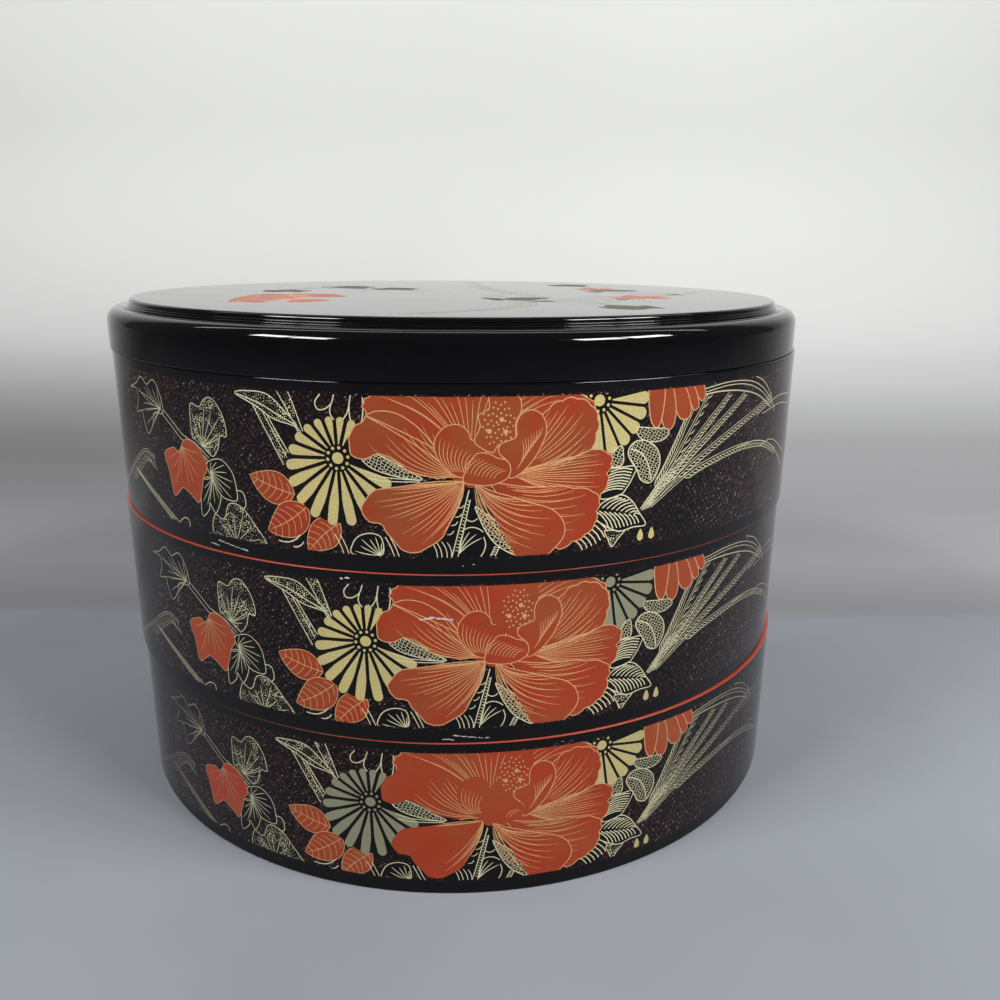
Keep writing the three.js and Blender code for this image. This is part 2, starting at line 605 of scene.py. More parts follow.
def chrysanthemum(plate, centre, middle, radius, first, last, count, ink, gap=0.48, widest=1.32):
    """Long round-ended petals from a disc ringed with dots. Each is a wedge that stays a gap away
    from its neighbours and ends in a half circle. The tips lie on a circle about middle."""
    centre, middle, disc = np.asarray(centre, float), np.asarray(middle, float), 1.55
    turn = np.radians(np.linspace(first, last, count))
    way = circle(turn)
    off = centre - middle
    along_way = way @ off
    reach = -along_way + np.sqrt(along_way**2 - off @ off + radius**2)
    plate.dots(BLACK, [middle], radius - 0.8, 40)
    slope = math.tan(math.radians(abs(last - first)) / (count - 1) / 2)
    for direction, far in zip(way, reach, strict=True):
        wide = min((far - 1.2) * slope - gap, widest)
        down = np.linspace(2.25 * disc, far - wide, 8)
        half = np.minimum(down * slope - gap, wide).clip(0.14)
        cap = np.linspace(0, math.pi, 9)[1:-1]
        across = left_of(direction)
        tip = centre + np.outer(far - wide + wide * np.sin(cap), direction)
        tip += np.outer(wide * np.cos(cap), across)
        left = centre + np.outer(down, direction) + np.outer(half, across)
        right = centre + np.outer(down, direction) - np.outer(half, across)
        plate.area(ink, np.concatenate((left, tip, right[::-1])))
    ring = np.radians(np.arange(10) * 36 + 9)
    plate.dots(ink, centre + 1.72 * disc * circle(ring), 0.28 * disc)
    plate.dots(ink, [centre], disc * 0.95, 16)


def leaf(plate, base, tip, width, fill, bend, ribs, slant=0.5, weight=0.3):
    """A pointed leaf on a bent midrib, with side ribs: its half width rises and falls as a sine
    along the rib."""
    line, rib = line_on(fill), bent(base, tip, bend, 17)
    t = np.linspace(0, 1, 17)
    half = width / 2 * np.sin(math.pi * t**0.8) ** 0.85
    off = sides(rib) * half[:, None]
    outline = np.concatenate((rib + off, (rib - off)[-2:0:-1]))
    plate.area(fill, outline)
    size = np.linalg.norm(rib[-1] - rib[0])
    for k in range(ribs):
        at = (k + 0.7) / (ribs + 0.9)
        near = along(rib, [at])[0]
        i = int(round(at * 16))
        ahead = rib[min(i + 1, 16)] - rib[max(i - 1, 0)]
        ahead = ahead / np.linalg.norm(ahead)
        for side in (-1, 1):
            across = side * left_of(ahead)
            out = min(half[i] * 0.86, size * 0.4)
            end = near + across * out + ahead * out * slant
            plate.line(line, bent(near, end, 0.08 * side, 5), weight * 0.75, ends=(1, 0.5))
    plate.line(line, rib[:16], weight, ends=(1, 0.4))
    plate.line(line, outline, weight, closed=True)


def ear(plate, path, awns, size, hands=(-1, 1), first=0.3, weight=0.36, lean=0.42):
    """A grass ear: a double stem, and slanted awns on its left (1) or right (-1) or both sides,
    that get shorter towards its tip."""
    stem = double_line(plate, path, 0.72, 0.24)
    share = np.linspace(first, 0.98, awns)
    places = along(stem, share)
    ahead = along(stem, np.minimum(share + 0.02, 1)) - along(stem, share - 0.02)
    ahead /= np.linalg.norm(ahead, axis=1, keepdims=True)
    for k, (place, way) in enumerate(zip(places, ahead, strict=True)):
        left = left_of(way)
        long = size * (1 - 0.35 * k / awns)
        for side in hands:
            root = place + left * side * 0.42
            tip = root + way * long * 0.9 + left * side * long * lean
            plate.arc(root, tip, 0.12 * side, 4, weight, ends=(0.5, 0.4))


def double_line(plate, path, gap, weight):
    """Two lines side by side, as the stems are drawn. Gives the path between them."""
    stem = through(path, 6)
    off = sides(stem) * gap / 2
    plate.line(STRAW, stem + off, weight)
    plate.line(STRAW, stem - off, weight)
    return stem


def vein(plate, start, end, bend, steps):
    """A fine line over red that begins a little after its start."""
    plate.line(PEACH, bent(start, end, bend, steps)[1:], VEIN, ends=(0.6, 0.3))


def peony(plate):
    """The large flower: petals from back to front, the stamens and the curled inner petals."""
    heart = (5.4, 25.4)
    plate.area(PETAL, ((-17, 40.1), (-14, 34), (-10, 29), (-4, 26.2), (3, 25.2), (7.8, 22.6),
               (14, 22.4), (24, 20.4), (34, 20), (40.2, 18.2), (42.4, 22.4), (42.2, 28), (38.3, 31),
               (38.8, 36), (30, 42), (25, 44.9), (0, 44.9)))
    petal(plate, (8, 27), ((-17, 40), (-18.2, 42.4), (-16.8, 44.6), (-13.5, 46), (0, 47.5),
          (20, 47.5), (33, 46), (38.5, 43.4), (40.2, 40)), 9, 17, 0.5, (0.12, 0.84), (0.44, 0.97),
          0.12)
    petal(plate, (18.4, 25.6), ((40.6, 18.2), (41.6, 19.4), (43.4, 22.4), (43, 24.6), (44.2, 27),
          (43.2, 29.6), (38.4, 31)), 6, 12, 0.45, (0.02, 0.95), (0.1, 0.92), 0.05)
    petal(plate, (19, 26.6), ((38.4, 31), (39.6, 35), (39.9, 38.6), (38, 42), (34.4, 43.8),
          (30.6, 43.5), (27.2, 41.6), (25, 38.5)), 7, 10, 0.45, (0.05, 0.86), (0.3, 0.9), 0.08,
          -0.05)
    petal(plate, (12, 24.4), ((30.6, 5.6), (34.2, 7.4), (37.6, 9), (40.2, 11.8), (40.6, 15),
          (41.2, 17.4), (39.4, 20), (34, 21.4), (27, 22.2)), 8, 9, 0.4, (0.22, 0.86), (0.36, 0.88),
          0.04, -0.12)
    petal(plate, (9.2, 23.6), ((19.4, 4), (25, 3), (29.4, 6.2), (31.4, 8.4), (31.9, 11.2),
          (30.6, 14.5), (27.8, 16.6), (22.3, 18.4), (17.4, 20.4)), 3, 12, 0.2, (0.03, 0.84),
          (0.08, 0.84), 0.03, -0.13)
    petal(plate, heart, ((-17.2, 40), (-18.6, 38.4), (-20.8, 36.8), (-21.7, 34), (-21.6, 31),
          (-19.8, 29.2), (-16.6, 29.6), (-13.6, 30.6), (-10, 28.7), (-5.5, 26), (0, 24.9)), 7, 0,
          -0.3)
    for k in range(11):
        tip = np.array((-16.6 + 1.45 * k, 32.6 + 5.6 * math.sin(0.1 + 0.15 * k)))
        path = bent((5, 26), tip, 0.15 - 0.012 * k, 13)
        plate.line(PEACH, path[: 13 - (k * 5) % 3], VEIN, ends=(0.5, 0.3))
    plate.stroke(((-17.2, 40.2), (-13.8, 41.3), (-9.2, 40.6), (-4.4, 37.4), (-0.6, 33)), 0.38, 6,
                 ink=PEACH)
    petal(plate, (6.4, 24.2), ((-4.5, 23.6), (-12, 22.6), (-16.6, 21), (-18.9, 17.8), (-19, 15),
          (-16.8, 13.2), (-14, 12.4), (-12.4, 9.8), (-9.6, 6.8), (-7, 5.4), (-3.6, 6.4), (0, 8.6),
          (3, 13), (5.2, 18.4)), 8, 17, -0.35, (0.05, 0.97), (0.05, 0.88), 0.05, 0.05)
    outlined(plate, PETAL, ((-0.6, 32), (-0.2, 35.2), (2.2, 37.8), (5.4, 38.2), (7.6, 36.4),
             (8.2, 34.6), (10.4, 34.2), (11.8, 31.8), (11, 28), (6, 25.2), (1.6, 27.8)))
    for k in range(8):
        vein(plate, (4.6 + 0.4 * k, 25.8), (1 + 1.05 * k, 35 - 0.55 * k), 0.2, 9)
    heart_of_dots(plate)
    outlined(plate, PETAL, ((15, 31.2), (15.4, 33.4), (17.6, 34.3), (19.2, 35.2), (19.2, 38),
             (20.2, 40.4), (22.8, 41.6), (25.6, 40.2), (26.7, 36.6), (25.6, 33), (23.6, 29.4),
             (20.4, 26), (17.6, 24.9), (17.6, 28.4)))
    for k in range(8):
        vein(plate, (18.4 + 0.55 * k, 26 + k), (20.6 + 0.72 * k, 34.4 + 0.42 * k), -0.16, 8)
    outlined(plate, PETAL, ((6.2, 24.6), (9, 30.6), (12, 31.2), (14.6, 30), (17, 29.2), (17.9, 27),
             (17, 24.8), (13.6, 23.3), (9.4, 23.3)))
    for k in range(9):
        vein(plate, (6.2 + 0.9 * k, 24.9 - 0.16 * k), (9.6 + 0.92 * k, 30.2 - 0.42 * k), 0.2, 6)


def heart_of_dots(plate):
    """The stamens: a wavy patch with small dots and rings of dots strewn by a spiral."""
    outlined(plate, PETAL, ((9, 34.2), (10.4, 37.6), (10, 40.4), (12.6, 42.2), (12.8, 45.6),
             (19, 45.6), (20.4, 42), (19, 38.6), (19, 35), (17.2, 33.6), (14.8, 33.2), (13.6, 31.4),
             (11.2, 32.2)))
    k = np.arange(46)
    turn, far = 2.4 * k, 0.86 * np.sqrt(k)
    spots = np.stack((14.8 + 0.72 * far * np.cos(turn), 38.2 + far * np.sin(turn)), 1)
    plate.dots(PEACH, spots[(spots[:, 1] < 44.4)], 0.27, 6)
    plate.dots(PEACH, ((12.6, 36.6), (15.6, 39.4), (16.6, 36.4)), 0.62, 9)


def red_leaves(plate):
    """Three red leaves beside the small flower."""
    leaf(plate, (-37, 19), (-50.2, 22.8), 8.6, PETAL, 0.03, 6, 0.55, 0.3)
    leaf(plate, (-33.6, 16.2), (-45.6, 8.6), 9.4, PETAL, 0.05, 6, 0.55, 0.3)
    leaf(plate, (-24.8, 12.6), (-33.8, 4.2), 8.2, PETAL, -0.05, 6, 0.5, 0.3)


def fan_leaf(plate, outline, root, veins, fill=BLACK, reach=0.86, spread=(0.06, 0.94), weight=0.3):
    """A lobed leaf through a few points, with veins that run from its root towards its edge."""
    shape = outlined(plate, fill, outline, weight)
    root = np.asarray(root, float)
    for k, tip in enumerate(along(shape, np.linspace(*spread, veins))):
        far = reach - 0.12 * (k % 2)
        vein = bent(root, root + (tip - root) * far, 0.05 * (1 - 2 * k / max(veins - 1, 1)), 6)
        plate.line(line_on(fill), vein, weight * 0.8, ends=(1, 0.4))


def ladder(plate, left, right, rungs, weight=0.22):
    """Short lines from one path to another, as the rungs of a ladder."""
    share = np.linspace(0.08, 0.92, rungs)
    for start, end in zip(along(np.asarray(left, float), share),
                          along(np.asarray(right, float), share), strict=True):
        plate.arc(start, end, 0.1, 4, weight)


def left_ivy(plate):
    """The plants left of the flowers: ivy on a stem, one leaf red, and the leaves under it."""
    ear(plate, ((-130, 5.6), (-121, 9.6), (-112, 14.6), (-104, 19.4), (-97, 22.6), (-91, 21.4)), 13,
        4.6, (-1,), 0.42, 0.34, 0.9)
    for gap in (0, 1.5, 3.2):
        plate.stroke(((-108 + gap, 15.6 - gap * 0.2), (-99 + gap, 12), (-91 + gap, 8.6),
                     (-84 + gap, 5)), 0.42)
    plate.stroke(((-80.5, 4.6), (-77.6, 6.6), (-75.4, 6.4), (-75, 4.6)), 0.34)
    fan_leaf(plate, ((-104, 40), (-99, 41.5), (-95, 43.7), (-91.5, 42), (-88, 43.6), (-85.5, 42.5),
             (-83.5, 38.5), (-83.5, 35), (-88.5, 34.5), (-90, 31), (-93.5, 28), (-95.5, 31),
             (-96.5, 34), (-100.5, 33.3), (-98.5, 37), (-99.5, 40)), (-84.5, 36), 15)
    double_line(plate, ((-83.6, 35.6), (-79, 32.6), (-75, 29.8), (-73, 29.2)), 1.5, 0.3)
    left_ivy_leaves(plate)
    fan_leaf(plate, ((-64.5, 4), (-64, 10), (-61.5, 9.3), (-60, 10), (-58.5, 13.5), (-56, 14.2),
             (-53, 13), (-50, 9.5), (-46.4, 4), (-54, 2.6)), (-56.4, 3.6), 9, STIPPLE, 0.86,
             (0.04, 0.8))
    plate.stroke(((-55.3, 18), (-53, 17.6), (-52.3, 14.5), (-53.5, 13)), 0.34)
    fan_leaf(plate, ((-81, 25.8), (-84, 24.5), (-84.5, 22.5), (-83, 19), (-81.5, 12.6), (-78.5, 14),
             (-76.5, 15.4), (-73, 14), (-70, 12.3), (-68.3, 16), (-67, 20), (-65.5, 22), (-66, 25),
             (-69, 28.3), (-72.5, 29.3), (-75, 28.3), (-77, 25.2), (-79, 26.2)), (-75.4, 27), 9,
             PETAL, 0.8, (0.1, 0.72))


def left_ivy_leaves(plate):
    """Two ivy leaves on a short stem, one stippled and one veined."""
    fan_leaf(plate, ((-70.2, 30), (-70.5, 36), (-69.8, 39.3), (-66.5, 38.7), (-64.5, 40.8),
             (-62, 41.5), (-59.5, 39.6), (-57.6, 36), (-57.2, 32), (-59.5, 31.8), (-60.5, 28.5),
             (-63, 26), (-66, 28.8), (-67.5, 31)), (-66.4, 28.2), 11, STIPPLE, 0.84, (0.02, 0.8))
    double_line(plate, ((-73.4, 29.4), (-69.4, 28.2), (-64.5, 25)), 0.9, 0.3)
    fan_leaf(plate, ((-66, 20), (-68.5, 17), (-69, 9), (-66, 11), (-65.5, 13), (-63.5, 10.5),
             (-61.6, 13.4), (-61, 16.6), (-63, 19.5)), (-63.4, 20.4), 8, BLACK, 0.84, (0.05, 0.85))
    fan_leaf(plate, ((-65.5, 23.5), (-62.5, 25.3), (-59.5, 25.4), (-56.5, 23), (-55.3, 19.5),
             (-55.2, 15.3), (-58.5, 15), (-61, 16), (-63.4, 19.4)), (-64.2, 21.6), 10, BLACK, 0.88,
             (0.08, 0.86))


def upper_left(plate):
    """The pointed leaf, the stippled stems and the hooked scallops above the small flower."""
    for outline in (((-47.8, 41), (-39.6, 26.4), (-38, 29.6), (-44, 39.4)),
                    ((-40.4, 45.4), (-34.6, 34.4), (-33.4, 34.6), (-37.2, 45.4))):
        plate.area(STIPPLE, outline)
        plate.arc(outline[0], outline[1], 0, 4, 0.34)
        plate.arc(outline[3], outline[2], 0, 4, 0.34)
    plate.arc((-45.4, 40.4), (-38.8, 28.8), 0, 4, 0.3)
    outlined(plate, STIPPLE, ((-53.2, 43.6), (-48, 44.4), (-43, 43.8), (-38.6, 40.2), (-35.2, 36.6),
             (-37.8, 37), (-42, 38), (-47, 40.8)), 0.36)
    plate.stroke(((-52.6, 43.4), (-46, 41.6), (-40.4, 39), (-35.8, 36.9)), 0.38)
    plate.stroke(((-36.4, 37.4), (-34.8, 35.8), (-33.4, 33.8)), 0.34)
    hooks = (
        ((-28.6, 44.8), (-30, 42.8), (-29.4, 41.1), (-27.6, 41.2), (-25.8, 42.6), (-25, 44.8)),
        ((-25.8, 42.6), (-26.2, 40.4), (-25, 38.5), (-23.2, 38.7), (-21.6, 41), (-20.8, 44.8)),
        ((-21.2, 43), (-21.2, 40), (-20.6, 37.8), (-19.6, 36.6), (-18.4, 38), (-17.8, 41),
         (-17.8, 44.4)),
    )
    for hook in hooks:
        plate.stroke(hook, 0.4, 6)


def notch_leaf(plate):
    """The netted leaf between the two left petals, with two lines under it."""
    outlined(plate, NET, ((-18.6, 29.4), (-16.4, 30.8), (-13.4, 30.2), (-9.6, 28.3), (-6, 26.2),
             (-3.6, 24.6), (-7.4, 24.8), (-12.4, 25.8), (-16.2, 27.2)), 0.32)
    plate.stroke(((-17.6, 26.2), (-13.4, 25), (-4.2, 24.4)), 0.3)
    plate.stroke(((-17.2, 24.6), (-12.4, 24), (-4.2, 24)), 0.3)


def under_peony(plate):
    """What shows between the lower petals: double stems, a netted leaf and the ends of leaves."""
    plate.area(BLACK, ((-21, 4), (-4, 4), (7.8, 23), (21, 4), (24, 2), (-21, 2)))
    fan_leaf(plate, ((-21.8, 4.6), (-21.6, 7.6), (-19.8, 9.6), (-16.8, 10.4), (-14.2, 9.2),
             (-14.4, 4.6)), (-14.6, 4.8), 7, BLACK, 0.84, (0.05, 0.62), 0.36)
    for x in (-26.4, -25, -13.2, -12):
        plate.arc((x, 9.6), (x + 2.2, 4.6), 0.03, 4, 0.32)
    for start, end in (((-42.6, 6.2), (-36, 8.4)), ((-38.2, 5), (-35.2, 6.6))):
        plate.arc(start, end, -0.16, 6, 0.42)
    plate.arc((7.7, 22), (3.4, 4.8), 0, 6, 0.36)
    plate.arc((8, 19.6), (4.9, 4.8), 0, 6, 0.32)
    ladder(plate, ((7.6, 20.6), (3.9, 5.2)), ((8, 20.2), (4.8, 5)), 16)
    for high, low, tip in ((16, 15.2, 5), (14, 13, 4), (11.6, 10.6, 3), (18.2, 17.6, 5.6)):
        plate.arc((tip + 0.9, high), (tip - 0.8, low), 0.2, 5, 0.3, ends=(1, 0.5))
    for start, end, bend in (((7, 14.6), (9.8, 14.8), -0.25), ((5.8, 11.4), (11.2, 11.2), 0.22)):
        plate.arc(start, end, bend, 8, 0.34)
    for tip in ((6.4, 11.2), (7.8, 11.2), (9.4, 10.6), (10.8, 9.6)):
        plate.arc((5.2, 5.6), tip, 0.06, 6, 0.32, ends=(0.6, 0.4))
    plate.stroke(((11.3, 9.9), (11.8, 8), (11.4, 6.2), (10.6, 4.8)), 0.34)
    for x in (13.4, 14.6):
        plate.arc((x + 0.8, 7.4), (x - 0.4, 4.8), 0, 4, 0.3)
    ladder(plate, ((14, 7.2), (13.2, 5)), ((15.2, 7.2), (14.4, 5)), 4)
    for k, x in enumerate((-2.2, -0.8, 0.8, 2.2)):
        plate.arc((x, 9.2 - 0.2 * k), (x + 2 - 0.3 * k, 4.6), 0.1, 6, 0.3, ends=(0.6, 1))
    outlined(plate, NET, ((9.2, 17.8), (11.4, 16.2), (14.2, 14.2), (16.8, 10.9), (19.4, 7.8),
             (19.9, 5.2), (18, 5.4), (14.2, 8.1), (11.8, 11.5), (10.2, 14.9)), 0.36)


def right_flowers(plate, ink):
    """The half flower behind the peony and the red petals at the top, right of it."""
    chrysanthemum(plate, (40.3, 43.2), (40.3, 43.2), 14.2, -198, 0, 12, ink, 0.4, 1.7)
    petals = (
        ((54.6, 46), (55.1, 38.4), (57, 35.2), (58.8, 37.2), (59.2, 46)),
        ((58.8, 46), (58.7, 38.2), (60.4, 34.3), (62.8, 35.2), (63.4, 39.6), (61.6, 46)),
        ((61.2, 46), (63, 40.2), (65.2, 36.8), (68.2, 36.9), (68.6, 40), (65.4, 46)),
        ((64.8, 46), (67.6, 42), (69.8, 38.7), (71.6, 39.6), (70.4, 43.2), (68.2, 46)),
        ((67.8, 46), (70.2, 43), (72.6, 40.8), (73.8, 42.4), (72.2, 46)),
    )
    for outline in petals[::-1]:
        outlined(plate, PETAL, outline, 0.48)


def right_leaves(plate):
    """The striped, netted and stippled leaves right of the peony, and the drops under them."""
    ladder(plate, ((33.8, 7.4), (36.6, 8.6), (40.8, 14.6)), ((36.2, 4.6), (40.4, 6), (46.4, 9.4)),
           8, 0.42)
    outlined(plate, STIPPLE, ((43.2, 9.3), (46.2, 9.2), (49.4, 9.3), (47.2, 6.8), (45.4, 4.8),
             (44.2, 7)), 0.36)
    outlined(plate, BLACK, ((39.8, 17.6), (47, 18.6), (50.6, 16.8), (53.4, 13), (55.5, 9.6),
             (51.6, 9.4), (46.6, 9), (39.8, 13.4)), 0.4)
    ladder(plate, ((39.8, 16.2), (52.8, 12.8)), ((46, 18.4), (50.2, 16.8), (54, 12)), 9, 0.42)
    ladder(plate, ((38.8, 15.4), (52.6, 12.6)), ((43.6, 9.8), (48.4, 9.8), (54.2, 10.4)), 9, 0.42)
    outlined(plate, BLACK, ((41, 24), (43.8, 25.6), (47.4, 25.8), (51.6, 25.6), (50.6, 22.6),
             (49, 20.2), (47.2, 18.6), (41.4, 18.2)), 0.4)
    ladder(plate, ((41, 18.8), (42.8, 22), (44.4, 25.4)), ((47.6, 19.6), (49.8, 22), (50.8, 25.4)),
           8, 0.42)
    outlined(plate, NET, ((43.4, 26.4), (44.6, 29.8), (46.8, 31.4), (47.6, 29.6), (47.4, 26.4)),
             0.34)
    outlined(plate, NET, ((51.6, 35.6), (56, 35.2), (60.6, 34.6), (61.4, 33), (58.8, 31.6),
             (55, 31.8), (52, 33.4)), 0.34)
    outlined(plate, NET, ((49, 29.2), (50.8, 32), (54.6, 32), (58.2, 29.2), (59, 25.2), (56.6, 21),
             (53.4, 21.8), (51.9, 24.6)), 0.42)
    plate.stroke(((49.8, 30.4), (53.4, 28.6), (55.6, 25), (56.4, 21.6)), 0.46, 6)
    drop = np.array(((0, 1.7), (-0.8, 0.3), (-0.85, -1), (0, -1.5), (0.85, -1), (0.8, 0.3)))
    for x in (54, 57.6):
        plate.area(GOLD, through(drop + (x, 6.9), 4, closed=True))


def grasses(plate):
    """The clump of grass at the right: ears on double stems and arching blades."""
    blades = (
        (((72, 42.2), (80, 42.6), (90, 41.8), (100, 39.4), (110, 34.6)), 0.46),
        (((73, 43.8), (84, 44.8), (95, 43.9), (104, 40.6), (113, 34.6)), 0.34),
        (((74, 43), (84, 43.9), (94, 43), (103, 39.8), (111, 35)), 0.3),
        (((96, 45.4), (103, 43), (109, 38.6), (114, 32.8)), 0.34),
        (((100, 33.8), (108, 36), (118, 37.2), (131, 36)), 0.4),
        (((104, 33.6), (112, 34.4), (120, 34.6), (130, 33)), 0.34),
        (((90, 25.9), (101, 26.2), (112, 23.4), (122, 18.2), (130, 13)), 0.4),
        (((104, 24.2), (112, 24.8), (120, 22.4), (130, 18)), 0.34),
    )
    for blade, weight in blades:
        plate.stroke(blade, weight, 6)
    ladder(plate, ((54.6, 14.8), (58.6, 20), (61, 23)), ((56.4, 14.6), (61.4, 19.2), (65.6, 23)),
           12, 0.3)
    ears = (
        (((53.8, 13.8), (60, 21.4), (64.6, 29.6), (68.4, 37), (72, 43)), 18, (1,)),
        (((54.2, 13.9), (62, 23.4), (68.4, 32.6), (75, 42)), 8, (-1,)),
        (((54.8, 14), (64, 24.2), (74, 33.6), (84, 41.6)), 17, (-1,)),
        (((55.4, 14.2), (66, 24.4), (79, 33.4), (92, 41)), 19, (-1,)),
        (((56, 14.3), (69, 23.8), (85, 31), (100, 35.8), (110, 38.6)), 22, (-1,)),
        (((56.8, 14.4), (68, 21.2), (78, 24.4), (92, 26.2), (106, 24.9), (118, 20.6)), 25, (-1,)),
    )
    for path, awns, hands in ears:
        ear(plate, path, round(1.4 * awns), 3, hands, 0.2)


def hidden_side(plate):
    """The stretch that the photograph doesn't show: a few blades and a leaf, kept plain."""
    for path in (((146, 4), (152, 16), (163, 27), (176, 33)),
                 ((147, 4), (157, 18), (172, 25), (187, 24)),
                 ((146, 4), (148, 18), (152, 32), (160, 43))):
        double_line(plate, path, 0.9, 0.28)
    ear(plate, ((147, 4), (155, 14), (168, 20), (182, 20), (192, 15)), 16, 2.7, (-1,), 0.3)
    leaf(plate, (150, 8), (164, 9.4), 7, STIPPLE, 0.06, 6)
    leaf(plate, (196, 10), (212, 18), 8, BLACK, 0.08, 7)
    leaf(plate, (198, 9), (214, 6.6), 7, STIPPLE, -0.06, 6)


def compose(plate, x, z, worn=(), left_gold=GOLD, right_gold=GOLD):
    """One repeat of the wall's print, moved by (x, z). Fine lines on red are missing in the worn
    spots, each (x, z, radius), and either small flower may be silver grey, a painted reflection in
    its gold."""
    plate.worn = [(x + s, z + h, r) for s, h, r in worn]
    plate.put(x, z)
    hidden_side(plate)
    left_ivy(plate)
    grasses(plate)
    upper_left(plate)
    right_flowers(plate, right_gold)
    right_leaves(plate)
    red_leaves(plate)
    under_peony(plate)
    chrysanthemum(plate, (-24.7, 29.2), (-25.0, 25.6), 13.9, 66, 334, 16, left_gold)
    notch_leaf(plate)
    peony(plate)


def scattered(plate, x, z, wide, tall, count, size):
    """Small chips strewn over a patch by the golden section, the longer ones along the edge,
    painted white: partly chips, partly painted glints.
    """
    k = np.arange(count)
    spots = np.stack((x + wide * ((k * 0.618) % 1 - 0.5),
                      z + tall * ((k * 0.382 + 0.2) % 1 - 0.5)), 1)
    for i, spot in enumerate(spots):
        long = size * (0.5 + (i * 0.37) % 1)
        end = spot + (long, 0.12 * size * (i % 3 - 1))
        plate.line(CHIP_GLINT, bent(spot, end, 0.05, 4), size * 0.28, ends=(0.3, 0.3))


def lid_print(plate):
    """The lid's disc: a large flower at the left, leaves behind it, long blades over the middle
    and a group of leaves with two small red flowers at the right."""
    plate.worn = []
    plate.put()
    for blade in (((-2, 98), (2, 66), (9, 30), (18, 0), (30, -26)),
                  ((8, -8), (17, -34), (22, -58), (12, -80), (-8, -98))):
        ear(plate, blade, 20, 5.5, (-1, 1), 0.35, 0.6)
        double_line(plate, np.asarray(blade) + (3.4, 1.0), 1.6, 0.5)
    plate.put(-44, 34, 24, 1.5, (-64, 34))
    left_ivy_leaves(plate)
    plate.put(-58, 22, 168, 1.25, (-64, 20))
    left_ivy_leaves(plate)
    plate.put(-22, 20, 30, 1.3, (-64, 30))
    left_ivy_leaves(plate)
    plate.put(-50, -36, 92, 0.74, (11, 24))
    peony(plate)
    plate.put(44, -34, 120, 1.5, (46, 16))
    right_leaves(plate)
    plate.put(66, 6, 60, 1.5, (46, 16))
    right_leaves(plate)
    plate.put(50, -62, 200, 1.3, (-64, 30))
    left_ivy_leaves(plate)
    plate.put(46, 60, 20, 1.3, (-64, 30))
    left_ivy_leaves(plate)
    for x, y, size in ((62, -18, 1.0), (52, 36, 0.8)):
        for k in range(5):
            plate.put(x, y, 72 * k + 12, size)
            leaf(plate, (0, 1.0), (0, 12.5), 7.6, PETAL, 0.04, 3, 0.6, 0.34)
        plate.put(x, y, 0, size)
        plate.dots(GOLD, [(0, 0)], 1.7, 12)
    plate.put()
    # Chips at the front of the lid, white: partly chips, partly painted glints
    scattered(plate, 8, -72, 18, 14, 7, 1.1)


def covers(shape, spots):
    """Whether a closed shape goes round each of these spots: its edges that pass upwards on the
    right of a spot, less those that pass downwards, are not none."""
    start, end = shape[:, None], np.roll(shape, -1, 0)[:, None]
    low, high = start[..., 1] <= spots[:, 1], end[..., 1] <= spots[:, 1]
    ahead, off = end - start, spots - start
    side = ahead[..., 0] * off[..., 1] - ahead[..., 1] * off[..., 0]
    return (low & ~high & (side > 0)).sum(0) != (~low & high & (side < 0)).sum(0)


def cut(plate, border, edges, ground=FLECKED):
    """The plate cut into triangles on which one ink shows: the edge of every shape is an edge of
    the mesh, and a triangle takes the ink of the highest shape over it."""
    edges, count = list(edges), len(border)
    for shape in plate.shapes:
        n = len(shape)
        edges += [(count + i, count + (i + 1) % n) for i in range(n)]
        count += n
    corners = np.concatenate((border, *plate.shapes))
    made = delaunay_2d_cdt([Vector(p) for p in corners.tolist()], edges, [], 0, 1e-4, True)
    points, faces = np.array([p[:] for p in made[0]]), np.array(made[2])
    known = np.array([min(ids) if ids else count for ids in made[3]])
    points[known < len(border)] = border[known[known < len(border)]]
    spots = points[faces].mean(1)
    order = np.argsort(spots[:, 0])
    spots = spots[order]
    inks = np.full(len(faces), ground)
    for shape, ink in zip(plate.shapes, plate.inks, strict=True):
        low, high = shape.min(0), shape.max(0)
        first, last = np.searchsorted(spots[:, 0], (low[0], high[0]))
        level = spots[first:last, 1]
        near = first + np.flatnonzero((level > low[1]) & (level < high[1]))
        if len(near):
            inks[order[near[covers(shape, spots[near])]]] = ink
    return points, faces, inks


# Meshes


def outward_at(turn):
    """The direction (sin a, -cos a) at each turn a from the front."""
    return np.stack((np.sin(turn), -np.cos(turn)), 1)


def rounded(corners, steps=4):
    """A profile with its corners rounded: each is (radius, height, rounding, paint), where paint
    is the ink of the stretch after it. Gives points, their outward normals and paints."""
    spots = np.array([c[:2] for c in corners], float)
    points, normals, paints = [], [], []
    for i, (r, z, fillet, paint) in enumerate(corners):
        here = spots[i]
        before = here - spots[i - 1] if i else spots[1] - here
        after = spots[i + 1] - here if i < len(spots) - 1 else before
        before, after = before / np.linalg.norm(before), after / np.linalg.norm(after)
        turn = math.atan2(before[0] * after[1] - before[1] * after[0], float(before @ after))
        if fillet <= 0 or abs(turn) < 1e-6:
            points.append(here)
            normals.append((after[1], -after[0]))
            paints.append(paint)
            continue
        back = fillet * math.tan(abs(turn) / 2)
        start = here - before * back
        side = -left_of(before) * math.copysign(1, turn)
        middle = start - side * fillet
        for k in range(steps + 1):
            angle = turn * k / steps
            c, s = math.cos(angle), math.sin(angle)
            out = np.array((c * side[0] - s * side[1], s * side[0] + c * side[1]))
            points.append(middle + out * fillet)
            normals.append(out * math.copysign(1, turn))
            paints.append(paint)
    return np.array(points), np.array(normals), np.array(paints)


